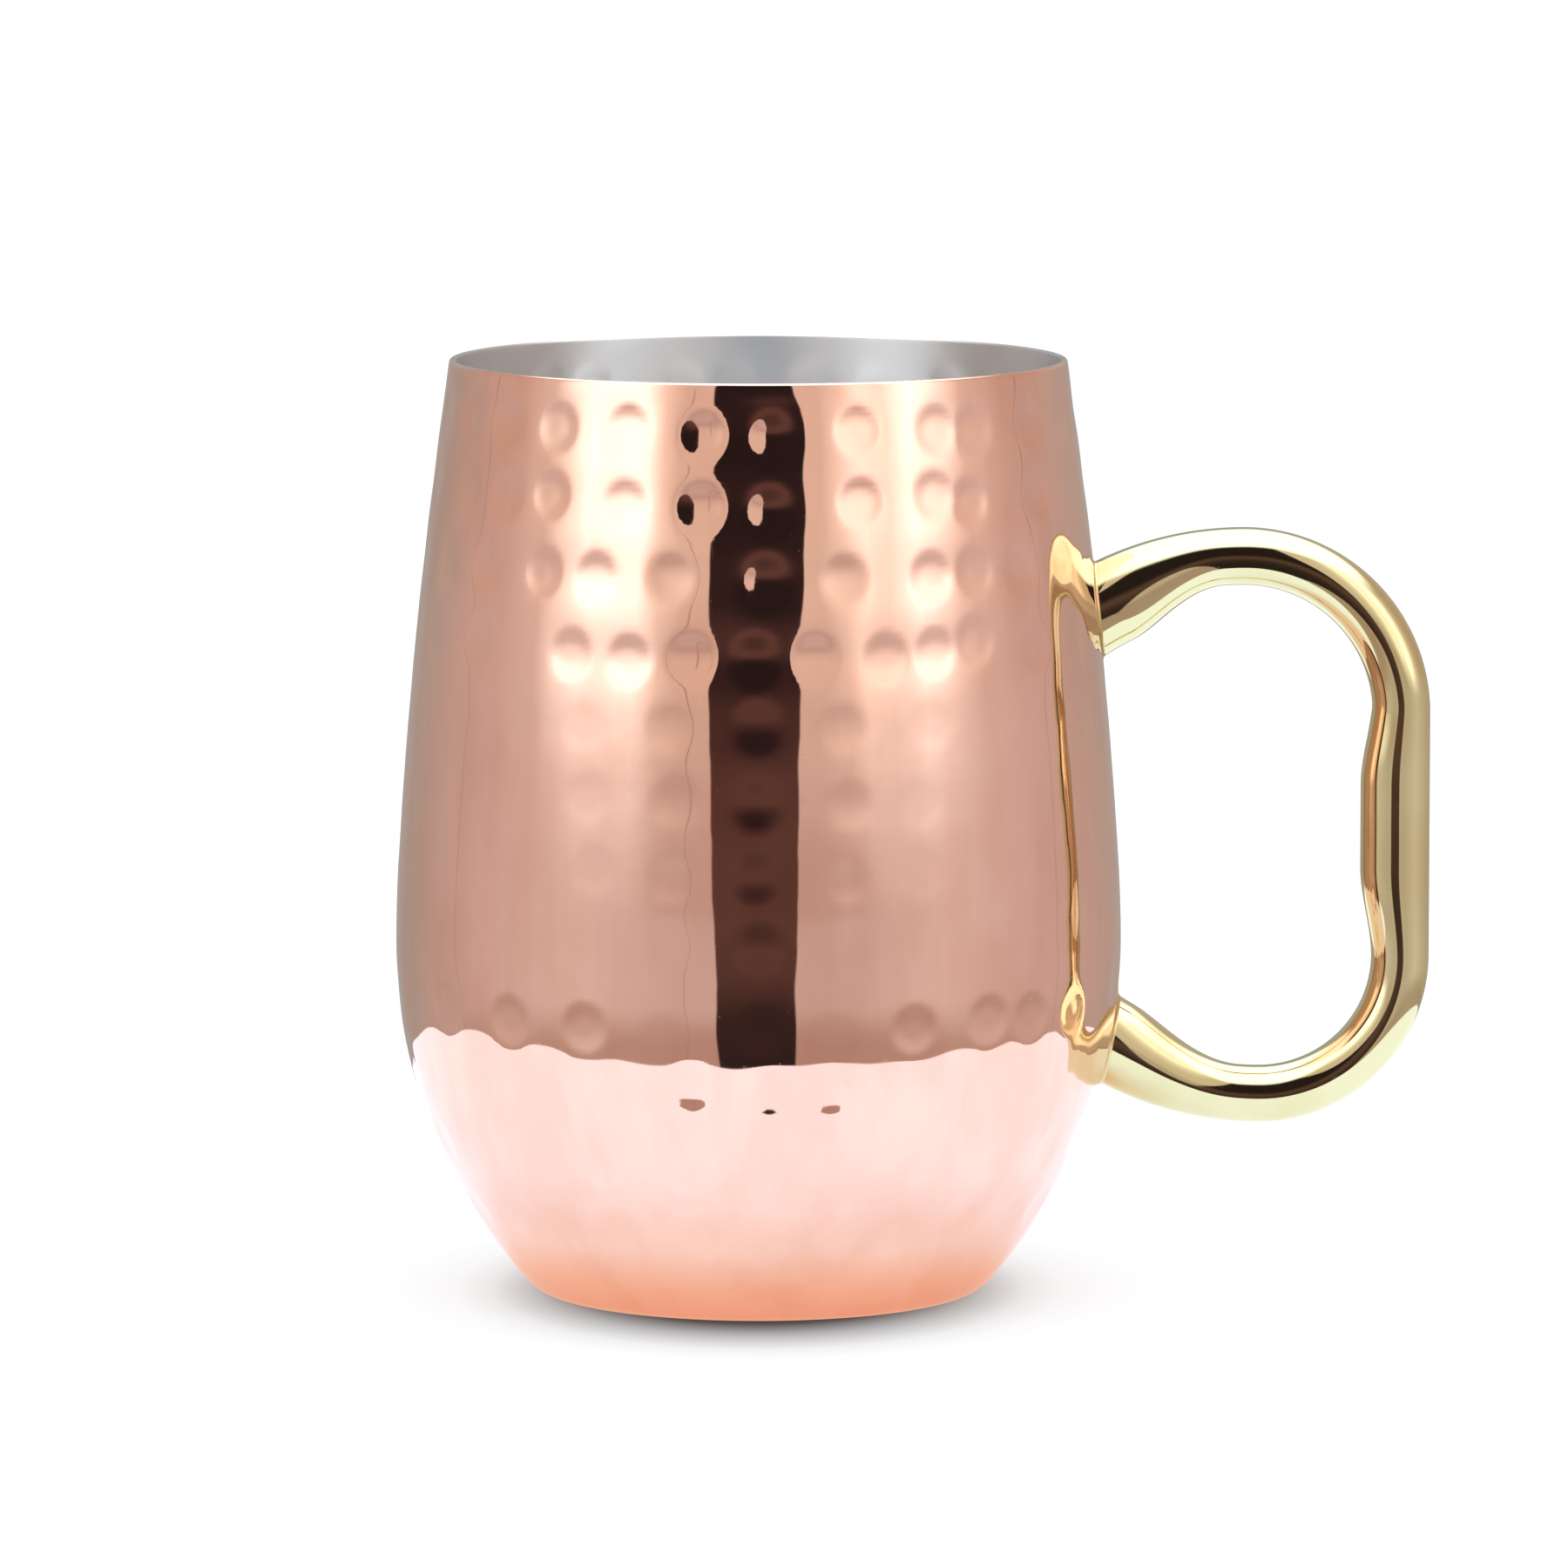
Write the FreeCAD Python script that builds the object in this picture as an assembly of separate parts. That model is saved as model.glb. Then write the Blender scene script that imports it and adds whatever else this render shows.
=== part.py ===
import FreeCAD, Part
import math
import os

# A barrel-shaped drinking mug: a copper outer cup nested on a plain steel liner, with a solid cast
# brass handle that is brazed to the copper at its two roots.
#
# Frame: millimetres, +Z up along the body's axis, origin at the centre of the flat base where it
# meets the table, +X towards the handle. The mug is symmetric about the XZ plane.

# ---- The outside of the body: tangent arcs, from the base to the rim ----
BODY_HEIGHT = 113.45
BASE_RADIUS = 25.0        # flat part of the base
SHOULDER_RADIUS = 4.3     # small rounding where the base turns up into the belly
BELLY_RADIUS = 44.0       # the widest place
BELLY_HEIGHT = 42.1       # height of the widest place
CROWN_RADIUS = 169.0      # the short, tighter arc just above the widest place
CROWN_RISE = 10.2         # how far up that arc runs
RIM_RADIUS = 37.3         # outside of the mouth

# ---- The two layers of the wall ----
COPPER_THICKNESS = 0.4
STEEL_THICKNESS = 0.4
RIM_ROUNDING = 0.3        # the outer lip of the copper and the inner lip of the steel
LIP_SHARE = 0.9           # the most of a layer's top that the rounding may take

# ---- The handle's outline, seen from the side ----
FINGER_GAP = 29.0         # from the widest place of the body to the inside of the grip
HANDLE_HEIGHT = 72.7      # from its lowest to its highest point
HANDLE_MID_HEIGHT = 56.65
UPPER_CORNER_RADIUS = 22.7
LOWER_CORNER_RADIUS = 20.6
ARM_RADIUS = 41.0         # the arc of each arm's back, from its corner to the wall

# ---- The handle's section: an ellipse, wide in the handle's own plane and a little flatter across ----
TUBE_WIDTH = 7.0
TUBE_DEPTH = 6.8
GRIP_WIDTH = 8.4          # the swelling on the inside of the grip
GRIP_DEPTH = 7.2
GRIP_HALF_LENGTH = 5.0    # the full swelling, each way from the middle
GRIP_FADE = 11.0          # the length over which it fades into the tube
UPPER_ROOT_WIDTH = 10.6
LOWER_ROOT_WIDTH = 10.4
ROOT_DEPTH = 8.2
FLARE_START = 2.8         # along the arm's back, from the end of the corner
UPPER_FLARE_LENGTH = 16.0
LOWER_FLARE_LENGTH = 19.0
SECTION_SPACING = 3.2     # between the sections that the handle is shaped through

# ---- The brazed joints ----
BRAZE_THICKNESS = 0.25
BRAZE_SETBACK = 0.15      # the film stops just short of the root's edge

# ---- A circle as a rational curve: control points, as shares of its two half-axes, and weights ----
RING = [(1, 0), (1, 1), (0, 1), (-1, 1), (-1, 0), (-1, -1), (0, -1), (1, -1), (1, 0)]
RING_WEIGHTS = [1, math.sqrt(0.5)] * 4 + [1]
RING_KNOTS = [0, 0.25, 0.5, 0.75, 1]
RING_MULTIPLICITIES = [3, 2, 2, 2, 3]

ORIGIN = FreeCAD.Vector(0, 0, 0)
UP = FreeCAD.Vector(0, 0, 1)
UPPER = 1                 # the handle's two ends
LOWER = -1
OUTSIDE = 1               # the two faces of a layer
INSIDE = -1


# ---- The body's outline ----

def point(radius, height):
    """A point of the XZ plane."""
    return FreeCAD.Vector(radius, 0, height)


def lower_belly_radius():
    """The radius of the arc that is tangent to the shoulder and upright at the widest place."""
    run = BELLY_RADIUS - BASE_RADIUS
    rise = BELLY_HEIGHT - SHOULDER_RADIUS
    return (run ** 2 + rise ** 2 - SHOULDER_RADIUS ** 2) / (2 * (run - SHOULDER_RADIUS))


def wall_arc():
    """The long arc from the crown to the rim: its centre, and its radius, negative if it is hollow.

    It leaves the crown's arc in the crown's own direction and passes through the rim.
    """
    lean = math.asin(CROWN_RISE / CROWN_RADIUS)
    normal = point(math.cos(lean), math.sin(lean))
    start = point(BELLY_RADIUS - CROWN_RADIUS, BELLY_HEIGHT) + normal * CROWN_RADIUS
    chord = point(RIM_RADIUS, BODY_HEIGHT) - start
    radius = -chord.dot(chord) / (2 * chord.dot(normal))
    return start - normal * radius, radius


def arc_between(centre, start, end):
    """The shorter arc about a centre, from one point to another."""
    radius = (start - centre).Length
    middle = (start + end) * 0.5 - centre
    return Part.Arc(start, centre + middle.normalize() * radius, end).toShape()


def body_outline(offset):
    """The outline's edges from the axis at the base to the rim, all moved outwards by offset."""
    shoulder_centre = point(BASE_RADIUS, SHOULDER_RADIUS)
    belly_arc_radius = lower_belly_radius()
    belly_centre = point(BELLY_RADIUS - belly_arc_radius, BELLY_HEIGHT)
    crown_centre = point(BELLY_RADIUS - CROWN_RADIUS, BELLY_HEIGHT)
    wall_centre, wall_radius = wall_arc()

    towards_shoulder = (shoulder_centre - belly_centre).normalize()
    lean = math.asin(CROWN_RISE / CROWN_RADIUS)
    off_wall = wall_radius + offset
    reach = math.sqrt(off_wall ** 2 - (BODY_HEIGHT - wall_centre.z) ** 2)

    axis_end = point(0, -offset)
    base_end = point(BASE_RADIUS, -offset)
    shoulder_end = belly_centre + towards_shoulder * (belly_arc_radius + offset)
    belly_end = point(BELLY_RADIUS + offset, BELLY_HEIGHT)
    crown_end = crown_centre + point(math.cos(lean), math.sin(lean)) * (CROWN_RADIUS + offset)
    rim_end = point(wall_centre.x + math.copysign(reach, off_wall), BODY_HEIGHT)
    return [
        Part.LineSegment(axis_end, base_end).toShape(),
        arc_between(shoulder_centre, base_end, shoulder_end),
        arc_between(belly_centre, shoulder_end, belly_end),
        arc_between(crown_centre, belly_end, crown_end),
        arc_between(wall_centre, crown_end, rim_end),
    ]


def ends(outline):
    """The outline's end on the axis and its end at the rim."""
    return outline[0].firstVertex().Point, outline[-1].lastVertex().Point


def revolved(edges):
    """The solid that a closed outline sweeps round the body's axis, with its seam away from the handle."""
    face = Part.Face(Part.Wire(Part.__sortEdges__(edges)))
    solid = face.revolve(ORIGIN, UP, 360)
    solid.rotate(ORIGIN, UP, 180)
    return solid


def filled_body(offset):
    """The whole body as one block, moved outwards by offset and closed at the rim."""
    outline = body_outline(offset)
    bottom, rim = ends(outline)
    top = point(0, BODY_HEIGHT)
    return revolved(outline + [Part.LineSegment(rim, top).toShape(), Part.LineSegment(top, bottom).toShape()])


def cup(outside, thickness):
    """An open cup whose outside lies at an offset from the body's outline."""
    outer = body_outline(outside)
    inner = body_outline(outside - thickness)
    outer_bottom, outer_rim = ends(outer)
    inner_bottom, inner_rim = ends(inner)
    lip = Part.LineSegment(outer_rim, inner_rim).toShape()
    centre_line = Part.LineSegment(inner_bottom, outer_bottom).toShape()
    return revolved(outer + [lip] + inner + [centre_line])


def lip_radius(side, thickness):
    """The rounding of a layer's lip, which is less than RIM_ROUNDING where its top is too narrow.

    The wall leans at the rim, so the corner on its outside is blunt and the one on its inside sharp.
    """
    centre, radius = wall_arc()
    lean = math.asin((BODY_HEIGHT - centre.z) / radius)
    corner = math.pi / 2 + side * lean
    top_width = thickness / math.cos(lean)
    return min(RIM_ROUNDING, LIP_SHARE * top_width * math.tan(corner / 2))


def rounded_lip(shell, side, thickness):
    """The shell with the outside or the inside edge of its rim rounded."""
    def on_rim(edge):
        return abs(edge.BoundBox.ZMin - BODY_HEIGHT) < 1e-6 and hasattr(edge.Curve, "Radius")

    rim_edges = [edge for edge in shell.Edges if on_rim(edge)]
    lip = max(rim_edges, key=lambda edge: side * edge.Curve.Radius)
    return shell.makeFillet(lip_radius(side, thickness), [lip])


# ---- The handle ----

def smooth_step(value):
    """0 below 0, 1 above 1, and a smooth rise between."""
    clipped = min(max(value, 0.0), 1.0)
    return clipped * clipped * (3 - 2 * clipped)


def corner_radius(side):
    """The radius of the handle's back at the corner above or below the grip."""
    return UPPER_CORNER_RADIUS if side == UPPER else LOWER_CORNER_RADIUS


def arm_start(side):
    """The distance along the handle's back from its middle to where a corner ends and its arm begins."""
    return HANDLE_HEIGHT / 2 - corner_radius(side) + corner_radius(side) * math.pi / 2


def back_of_handle(side, distance):
    """A point on the handle's back and the direction inwards from it.

    The back is straight at the grip, then a quarter circle, then the wider arc of the arm. The
    distance is measured along it from the middle of the grip.
    """
    back = BELLY_RADIUS + FINGER_GAP + GRIP_WIDTH
    corner = corner_radius(side)
    corner_start = HANDLE_HEIGHT / 2 - corner
    if distance <= corner_start:
        x, z, turn = back, distance, 0.0
    elif distance <= arm_start(side):
        turn = (distance - corner_start) / corner
        x = back - corner + corner * math.cos(turn)
        z = corner_start + corner * math.sin(turn)
    else:
        swing = (distance - arm_start(side)) / ARM_RADIUS
        turn = math.pi / 2 + swing
        x = back - corner - ARM_RADIUS * math.sin(swing)
        z = HANDLE_HEIGHT / 2 - ARM_RADIUS + ARM_RADIUS * math.cos(swing)
    return point(x, HANDLE_MID_HEIGHT + side * z), point(-math.cos(turn), -side * math.sin(turn))


def section_size(side, distance):
    """The section's width and depth at a distance along the handle's back."""
    grip = 1 - smooth_step((distance - GRIP_HALF_LENGTH) / GRIP_FADE)
    flare_length = UPPER_FLARE_LENGTH if side == UPPER else LOWER_FLARE_LENGTH
    flare = smooth_step((distance - arm_start(side) - FLARE_START) / flare_length)
    root_width = UPPER_ROOT_WIDTH if side == UPPER else LOWER_ROOT_WIDTH
    width = TUBE_WIDTH + grip * (GRIP_WIDTH - TUBE_WIDTH) + flare * (root_width - TUBE_WIDTH)
    depth = TUBE_DEPTH + grip * (GRIP_DEPTH - TUBE_DEPTH) + flare * (ROOT_DEPTH - TUBE_DEPTH)
    return width, depth


def arm_length(side, body):
    """The distance along the handle's back at which the whole section has passed into the body."""
    distance = arm_start(side)
    while True:
        distance += SECTION_SPACING / 2
        back, inwards = back_of_handle(side, distance)
        front = back + inwards * section_size(side, distance)[0]
        if body.isInside(back, 0, False) and body.isInside(front, 0, False):
            return distance + SECTION_SPACING


def section_poles(side, distance, setback):
    """The control points of the elliptical section, with its size taken in all round by a setback."""
    back, inwards = back_of_handle(side, distance)
    width, depth = section_size(side, distance)
    centre = back + inwards * (width / 2)
    half_width = inwards * (setback - width / 2)
    half_depth = FreeCAD.Vector(0, depth / 2 - setback, 0)
    return [centre + half_width * across + half_depth * along for across, along in RING]


def handle_bar(body, setback=0.0):
    """The handle with both arms run on into the body, before their ends are trimmed to the wall.

    Each control point of the section runs along the handle on a cubic curve through its places at
    the stations. Those curves' control points together are the net of the handle's skin.
    """
    upper_end = arm_length(UPPER, body)
    length = upper_end + arm_length(LOWER, body)
    count = math.ceil(length / SECTION_SPACING)
    stations = [length * index / count for index in range(count + 1)]
    sections = []
    for station in stations:
        distance = upper_end - station
        side = UPPER if distance >= 0 else LOWER
        sections.append(section_poles(side, abs(distance), setback))

    runs = []
    for places in zip(*sections):
        run = Part.BSplineCurve()
        run.interpolate(Points=list(places), Parameters=stations)
        runs.append(run)
    net = [list(poles) for poles in zip(*[run.getPoles() for run in runs])]
    skin = Part.BSplineSurface()
    skin.buildFromPolesMultsKnots(
        net, runs[0].getMultiplicities(), RING_MULTIPLICITIES, runs[0].getKnots(), RING_KNOTS,
        False, False, 3, 2, [RING_WEIGHTS] * len(net),
    )
    caps = [Part.Face(Part.Wire(skin.uIso(end).toShape())) for end in (0, length)]
    shell = Part.makeShell([skin.toShape()] + caps)
    shell.sewShape()
    return Part.makeSolid(shell)


def single_solid(shape, name):
    """The only solid in a shape that a cut has left."""
    if len(shape.Solids) != 1:
        raise ValueError(f"{name} is in {len(shape.Solids)} pieces")
    return shape.Solids[0]


def make_parts():
    """Every piece of the mug, by the name of its node."""
    body = filled_body(0)
    seat = filled_body(BRAZE_THICKNESS)
    copper = cup(0, COPPER_THICKNESS)
    steel = cup(-COPPER_THICKNESS, STEEL_THICKNESS)
    film = handle_bar(body, BRAZE_SETBACK).common(seat).cut(body)
    lower_film, upper_film = sorted(film.Solids, key=lambda solid: solid.BoundBox.ZMin)
    return {
        "outer_shell": rounded_lip(copper, OUTSIDE, COPPER_THICKNESS),
        "liner": rounded_lip(steel, INSIDE, STEEL_THICKNESS),
        "handle": single_solid(handle_bar(body).cut(seat), "handle"),
        "upper_braze": upper_film,
        "lower_braze": lower_film,
    }


os.makedirs("parts", exist_ok=True)
for name, shape in make_parts().items():
    shape.exportStep(f"parts/{name}.step")
    print(f"{name}: {shape.Volume / 1000:.3f} cm3")

cavity = filled_body(-COPPER_THICKNESS - STEEL_THICKNESS)
print(f"brimful: {cavity.Volume / 1000:.0f} ml")
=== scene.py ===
"""The looks of a hammered copper mug with a steel liner and a brass handle.

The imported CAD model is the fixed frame. Each piece here is a surface worked out on a grid with
numpy, in metres and in the frame's own axes: +Z up the body's axis, +X towards the handle.
A direction round the body is given by its turn from the front, which is -Y, towards the handle.
"""

import logging
import math
from dataclasses import dataclass, field
from enum import Enum

import bpy
import numpy as np
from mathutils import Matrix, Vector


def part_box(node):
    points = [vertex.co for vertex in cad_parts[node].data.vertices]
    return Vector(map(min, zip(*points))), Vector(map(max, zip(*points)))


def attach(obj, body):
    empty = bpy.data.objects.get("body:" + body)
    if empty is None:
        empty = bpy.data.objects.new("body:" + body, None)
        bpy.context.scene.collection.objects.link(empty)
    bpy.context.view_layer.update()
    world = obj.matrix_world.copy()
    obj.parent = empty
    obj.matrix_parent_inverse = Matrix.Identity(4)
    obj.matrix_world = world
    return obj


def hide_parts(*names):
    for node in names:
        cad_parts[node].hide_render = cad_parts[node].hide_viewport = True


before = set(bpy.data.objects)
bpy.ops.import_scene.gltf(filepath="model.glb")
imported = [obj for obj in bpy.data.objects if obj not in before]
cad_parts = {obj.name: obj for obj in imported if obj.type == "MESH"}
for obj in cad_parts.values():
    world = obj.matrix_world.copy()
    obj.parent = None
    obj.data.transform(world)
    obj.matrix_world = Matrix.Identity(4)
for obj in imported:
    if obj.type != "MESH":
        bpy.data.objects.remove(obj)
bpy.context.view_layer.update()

log = logging.getLogger("mug")

MM = 0.001
FULL_TURN = 2 * math.pi
SHARP_ANGLE = math.radians(50)
# Offsets of the layers' other faces from the outline, on which the copper's front lies.
COPPER_BACK = -0.39 * MM
STEEL_FACE = -0.8 * MM
STEEL_BACK = -0.41 * MM


class Root(Enum):
    """The handle's two ends, with the sign of the station at which each lies."""

    UPPER = 1
    LOWER = -1


class Slot(Enum):
    """The record's material slots."""

    COPPER = "copper"
    STEEL = "steel"
    BRASS = "brass"
    BRAZE = "braze"


# ---- Shader building ----


class Graph:
    """A material's or world's node tree, and the one method that adds any node to it."""

    def __init__(self, tree: bpy.types.NodeTree) -> None:
        """Empties the tree.

        Args:
            tree: the node tree to build in.
        """
        self.tree = tree
        tree.nodes.clear()

    def node(self, kind: str, settings: dict | None = None,
             inputs: dict | None = None) -> bpy.types.Node:
        """Adds a node, makes its settings, and then fills its sockets.

        Args:
            kind: the node's type.
            settings: its properties; "stops" holds a colour ramp's places and colours.
            inputs: numbers, colours, Values or sockets, by the socket's name or number.

        Returns:
            The node.
        """
        made = self.tree.nodes.new(kind)
        for name, setting in (settings or {}).items():
            if name == "stops":
                self._set_stops(made.color_ramp, setting)
            else:
                setattr(made, name, setting)
        for name, given in (inputs or {}).items():
            source = given.socket if isinstance(given, Value) else given
            if isinstance(source, bpy.types.NodeSocket):
                self.tree.links.new(source, made.inputs[name])
            else:
                made.inputs[name].default_value = source
        return made

    @staticmethod
    def _set_stops(ramp: bpy.types.ColorRamp, stops: list) -> None:
        """Gives a ramp its stops.

        Args:
            ramp: the ramp, which has two stops when it is new.
            stops: the place and the colour of each stop, in order.
        """
        while len(ramp.elements) < len(stops):
            ramp.elements.new(1.0)
        for element, (place, _) in zip(ramp.elements, stops):
            element.position = place
        for element, (_, colour) in zip(ramp.elements, stops):
            element.color = (*colour, 1.0)

    def maths(self, operation: str, *values: "Value | float") -> "Value":
        """Adds a Math node.

        Args:
            operation: the node's operation.
            *values: what goes into its sockets.

        Returns:
            Its result.
        """
        made = self.node("ShaderNodeMath", {"operation": operation}, dict(enumerate(values)))
        return Value(self, made.outputs[0])

    def step(self, value: "Value", low: float, high: float) -> "Value":
        """A smooth rise from 0 at low to 1 at high, or a fall where low is the greater.

        Args:
            value: what is compared.
            low: where the result is 0.
            high: where the result is 1.

        Returns:
            The rise, from 0 to 1.
        """
        if low > high:
            return 1 - self.step(value, high, low)
        made = self.node("ShaderNodeMapRange", {"interpolation_type": "SMOOTHSTEP"},
                         {0: value, 1: low, 2: high, 3: 0.0, 4: 1.0})
        return Value(self, made.outputs[0])

    def band(self, value: "Value", low: float, high: float, soft: float) -> "Value":
        """1 between low and high, and 0 beyond them, with edges of width soft."""
        half = soft / 2
        return self.step(value, low - half, low + half) * self.step(value, high + half, high - half)

    def mix(self, factor: "Value | float", first: object, second: object) -> bpy.types.NodeSocket:
        """Mixes two colours.

        Args:
            factor: the share of the second colour.
            first: the first colour or colour socket.
            second: the second colour or colour socket.

        Returns:
            The mixed colour's socket.
        """
        first, second = (c if isinstance(c, bpy.types.NodeSocket) else (*c, 1.0) for c in (first, second))
        made = self.node("ShaderNodeMix", {"data_type": "RGBA"}, {0: factor, 6: first, 7: second})
        return made.outputs[2]

    def ramp(self, value: "Value", stops: list) -> bpy.types.NodeSocket:
        """The colour that a ramp gives for a value.

        Args:
            value: the place on the ramp, from 0 to 1.
            stops: the place and the colour of each stop, in order.

        Returns:
            The colour's socket.
        """
        return self.node("ShaderNodeValToRGB", {"stops": stops}, {0: value}).outputs[0]

    def place(self) -> tuple[bpy.types.NodeSocket, "Value", "Value", "Value"]:
        """The Object coordinates.

        Returns:
            All three together, and then each by itself.
        """
        coordinates = self.node("ShaderNodeTexCoord").outputs["Object"]
        parts = self.node("ShaderNodeSeparateXYZ", inputs={0: coordinates}).outputs
        return coordinates, Value(self, parts[0]), Value(self, parts[1]), Value(self, parts[2])

    def noise(self, coordinates: bpy.types.NodeSocket, scale: float, stretch: tuple = (1, 1, 1),
              detail: float = 3.0, roughness: float = 0.5) -> "Value":
        """Noise from 0 to 1.

        Args:
            coordinates: where it is taken.
            scale: how many features it has to a metre.
            stretch: how much closer the features lie along each axis.
            detail: the number of finer layers.
            roughness: how strong the finer layers are.

        Returns:
            The noise.
        """
        moved = self.node("ShaderNodeMapping", inputs={"Vector": coordinates, "Scale": stretch})
        made = self.node("ShaderNodeTexNoise", inputs={
            "Vector": moved.outputs[0], "Scale": scale, "Detail": detail, "Roughness": roughness,
        })
        return Value(self, made.outputs["Fac"])

    def specks(self, coordinates: bpy.types.NodeSocket, scale: float) -> "Value":
        """Rare specks: 1 at the peaks of fine noise, and 0 elsewhere."""
        return self.step(self.noise(coordinates, scale, detail=1), 0.74, 0.80)

    def bump(self, height: "Value", distance: float) -> bpy.types.NodeSocket:
        """The normal of a surface with fine relief, which is distance high where height is 1."""
        inputs = {"Height": height, "Distance": distance, "Strength": 1.0}
        return self.node("ShaderNodeBump", inputs=inputs).outputs[0]


class Value:
    """A socket that holds a number, with operators that add Math nodes."""

    def __init__(self, graph: Graph, socket: bpy.types.NodeSocket) -> None:
        """Wraps a socket of a graph."""
        self.graph = graph
        self.socket = socket

    def __add__(self, other: "Value | float") -> "Value":
        """This plus other."""
        return self.graph.maths("ADD", self, other)

    def __radd__(self, other: float) -> "Value":
        """Other plus this."""
        return self.graph.maths("ADD", other, self)

    def __sub__(self, other: "Value | float") -> "Value":
        """This less other."""
        return self.graph.maths("SUBTRACT", self, other)

    def __rsub__(self, other: float) -> "Value":
        """Other less this."""
        return self.graph.maths("SUBTRACT", other, self)

    def __mul__(self, other: "Value | float") -> "Value":
        """This times other."""
        return self.graph.maths("MULTIPLY", self, other)

    def __rmul__(self, other: float) -> "Value":
        """Other times this."""
        return self.graph.maths("MULTIPLY", other, self)

    def __truediv__(self, other: "Value | float") -> "Value":
        """This over other."""
        return self.graph.maths("DIVIDE", self, other)

    def __rtruediv__(self, other: float) -> "Value":
        """Other over this."""
        return self.graph.maths("DIVIDE", other, self)


def new_material(name: str) -> tuple[bpy.types.Material, Graph]:
    """Adds an empty material.

    Args:
        name: its name.

    Returns:
        The material and its graph.
    """
    material = bpy.data.materials.new(name)
    material.use_nodes = True
    return material, Graph(material.node_tree)


def metal(graph: Graph, inputs: dict) -> None:
    """Ends a graph with a bare metal's shader.

    Args:
        graph: the material's graph.
        inputs: what goes into the shader's sockets, by name.
    """
    shader = graph.node("ShaderNodeBsdfPrincipled", inputs={"Metallic": 1.0} | inputs)
    graph.node("ShaderNodeOutputMaterial", inputs={"Surface": shader.outputs[0]})


def dimmed(colour: tuple, brightest: float) -> tuple:
    """A colour over the strength that its shader multiplies it by."""
    return tuple(c / brightest for c in colour)


def ramp_stops(stops: tuple, span: float, start: float = 0.0, brightest: float = 1.0) -> list:
    """Stops as a ramp takes them: each place over the span plus the start, and each colour dimmed."""
    return [(place / span + start, dimmed(colour, brightest)) for place, colour in stops]


# ---- Finishes ----


@dataclass(frozen=True)
class HammeredCopper:
    """Copper, planished bright, with faint clouding, wipe marks and a turned base."""

    colour: tuple = (0.93, 0.62, 0.50)
    clouded: tuple = (0.885, 0.565, 0.445)
    roughness: float = 0.035
    streaked: float = 0.05
    specked: float = 0.12
    turned: float = 0.16
    base_band: float = 0.25 * MM
    lathe_marks: float = 0.9 * MM
    relief: float = 0.03 * MM

    def material(self) -> bpy.types.Material:
        """The material: clouds tint it, streaks up the wall dull it, and ripples bend its reflections."""
        material, graph = new_material("hammered_copper")
        place, x, y, z = graph.place()
        clouds = graph.noise(place, 55, detail=4)
        streaks = graph.noise(place, 900, stretch=(1, 1, 0.06), roughness=0.6)
        specks = graph.specks(place, 2600)
        ripples = graph.noise(place, 170, detail=1.5)
        under = graph.step(z, self.base_band, self.base_band / 2)
        radius = graph.maths("SQRT", x * x + y * y)
        lathe = graph.maths("SINE", radius * (FULL_TURN / self.lathe_marks)) * 0.5 + 0.5
        wiped = graph.noise(place, 260, stretch=(1, 1, 0.14))
        tint = graph.step(clouds + (wiped - 0.5) * 0.6, 0.36, 0.70)
        colour = graph.mix(tint, self.colour, self.clouded)
        dulled = graph.step(streaks, 0.55, 0.85) * self.streaked
        roughness = self.roughness + dulled + specks * self.specked + under * self.turned
        height = ripples * 0.45 * (1 - under) + lathe * under * 0.2 + streaks * 0.006
        metal(graph, {
            "Base Color": colour, "Roughness": roughness, "Normal": graph.bump(height, self.relief),
        })
        return material


@dataclass(frozen=True)
class SatinSteel:
    """Stainless steel, brushed round the cup to a satin."""

    colour: tuple = (0.95, 0.95, 0.945)
    shaded: tuple = (0.88, 0.88, 0.875)
    roughness: float = 0.37
    grained: float = 0.10
    patched: float = 0.06
    stretch: float = 0.95
    rotation: float = 0.25
    relief: float = 0.008 * MM

    def material(self) -> bpy.types.Material:
        """The material: fine lines round the wall give it grain, and patches vary its sheen."""
        material, graph = new_material("satin_steel")
        place, _, _, _ = graph.place()
        grain = graph.noise(place, 40, stretch=(1, 1, 110), roughness=0.7)
        patches = graph.noise(place, 60)
        metal(graph, {
            "Base Color": graph.mix(graph.step(patches, 0.35, 0.7), self.colour, self.shaded),
            "Roughness": self.roughness + grain * self.grained + patches * self.patched,
            "Anisotropic": self.stretch, "Anisotropic Rotation": self.rotation,
            "Normal": graph.bump(grain, self.relief),
        })
        return material


@dataclass(frozen=True)
class PolishedBrass:
    """Cast brass, polished to a mirror, with soft ripples and a trace of dulling."""

    colour: tuple = (0.76, 0.71, 0.42)
    deeper: tuple = (0.72, 0.65, 0.36)
    roughness: float = 0.05
    wiped: float = 0.06
    specked: float = 0.12
    relief: float = 0.035 * MM

    def material(self) -> bpy.types.Material:
        """The material: clouds deepen the colour, specks and wipe marks dull it, and ripples bend it."""
        material, graph = new_material("polished_brass")
        place, _, _, _ = graph.place()
        clouds = graph.noise(place, 70, detail=4)
        wipes = graph.noise(place, 700, stretch=(1, 0.15, 1), roughness=0.6)
        specks = graph.specks(place, 2200)
        ripples = graph.noise(place, 130, detail=1)
        metal(graph, {
            "Base Color": graph.mix(graph.step(clouds, 0.4, 0.7), self.colour, self.deeper),
            "Roughness": self.roughness + graph.step(wipes, 0.5, 0.85) * self.wiped + specks * self.specked,
            "Normal": graph.bump(ripples + wipes * 0.02, self.relief),
        })
        return material


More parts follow.
